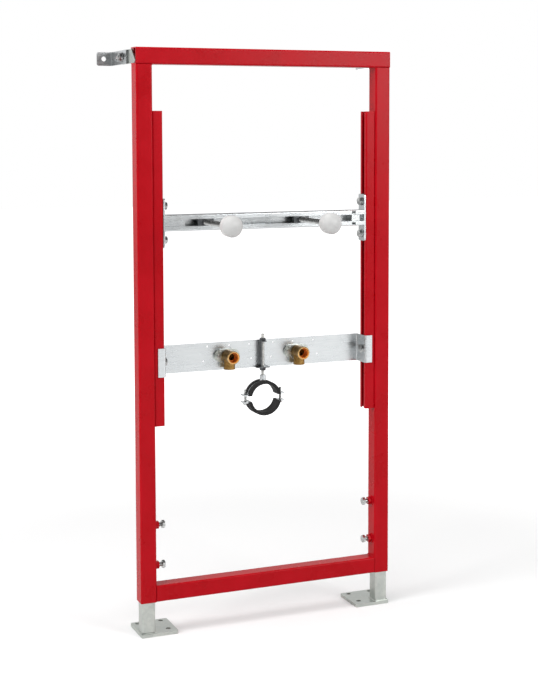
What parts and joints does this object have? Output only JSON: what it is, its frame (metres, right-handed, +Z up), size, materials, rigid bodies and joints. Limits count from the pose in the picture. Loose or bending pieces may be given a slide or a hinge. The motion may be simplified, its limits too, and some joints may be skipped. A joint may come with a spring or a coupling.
{
  "type": "washbasin support frame",
  "caption": "Welded tube frame on telescopic legs that carries a washbasin in a stud wall, with a slotted basin rail, a plate for the water elbows and a lined clip for the waste pipe.",
  "frame": {"origin": "on the floor, midway across the frame, midway between the stud caps in front and the wall behind", "axes": "+X to the right seen from the room, +Y into the wall, +Z up"},
  "size_m": [0.5586, 0.29, 1.063],
  "materials": {
    "red_powder_coat": "semi-gloss powder coat",
    "zinc_plated_steel": "zinc plated",
    "brass": "cast and turned brass",
    "black_rubber": "matt",
    "white_plastic": "moulded, satin"
  },
  "bodies": {
    "left_foot": {"left_leg": "zinc_plated_steel", "left_foot_plate": "zinc_plated_steel"},
    "frame": {"top_tube": "red_powder_coat", "left_stile": "red_powder_coat", "right_stile": "red_powder_coat", "bottom_rail": "red_powder_coat", "left_inner_rail": "red_powder_coat", "right_inner_rail": "red_powder_coat", "clamp_nuts": "red_powder_coat", "clamp_screws": "zinc_plated_steel", "left_wall_strap": "zinc_plated_steel", "right_wall_strap": "zinc_plated_steel", "wall_bolts": "zinc_plated_steel", "wall_nuts": "zinc_plated_steel"},
    "right_foot": {"right_leg": "zinc_plated_steel", "right_foot_plate": "zinc_plated_steel"},
    "basin_carrier": {"basin_rail": "zinc_plated_steel", "left_rail_bracket": "zinc_plated_steel", "right_rail_bracket": "zinc_plated_steel", "bracket_bolts": "zinc_plated_steel", "bracket_slide_nuts": "zinc_plated_steel", "left_basin_stud": "zinc_plated_steel", "right_basin_stud": "zinc_plated_steel", "stud_slide_nuts": "zinc_plated_steel", "left_stud_cap": "white_plastic", "right_stud_cap": "white_plastic"},
    "fitting_carrier": {"fitting_plate": "zinc_plated_steel", "plate_bolts": "zinc_plated_steel", "plate_slide_nuts": "zinc_plated_steel", "left_elbow_base": "zinc_plated_steel", "right_elbow_base": "zinc_plated_steel", "left_tap_elbow": "brass", "right_tap_elbow": "brass", "elbow_screws": "zinc_plated_steel", "clip_bracket": "zinc_plated_steel", "clip_rod": "zinc_plated_steel", "clip_rod_nuts": "zinc_plated_steel", "upper_clip_band": "zinc_plated_steel", "lower_clip_band": "zinc_plated_steel", "upper_clip_lining": "black_rubber", "lower_clip_lining": "black_rubber", "clip_screws": "zinc_plated_steel"},
    "left_wall_angle": {"left_wall_angle": "zinc_plated_steel"},
    "right_wall_angle": {"right_wall_angle": "zinc_plated_steel"}
  },
  "joints": [
    {"name": "left_leg_height", "type": "slide", "parent": "left_foot", "child": "frame", "axis": [0, 0, 1], "range_m": [-0.052, 0.145]},
    {"name": "right_leg_height", "type": "slide", "parent": "frame", "child": "right_foot", "axis": [0, 0, -1], "range_m": [-0.052, 0.145]},
    {"name": "basin_height", "type": "slide", "parent": "frame", "child": "basin_carrier", "axis": [0, 0, 1], "range_m": [-0.08, 0.15]},
    {"name": "fitting_height", "type": "slide", "parent": "frame", "child": "fitting_carrier", "axis": [0, 0, 1], "range_m": [-0.085, 0.08]},
    {"name": "left_wall_depth", "type": "slide", "parent": "frame", "child": "left_wall_angle", "axis": [0, 1, 0], "range_m": [-0.017, 0.005]},
    {"name": "right_wall_depth", "type": "slide", "parent": "frame", "child": "right_wall_angle", "axis": [0, 1, 0], "range_m": [-0.017, 0.005]}
  ]
}
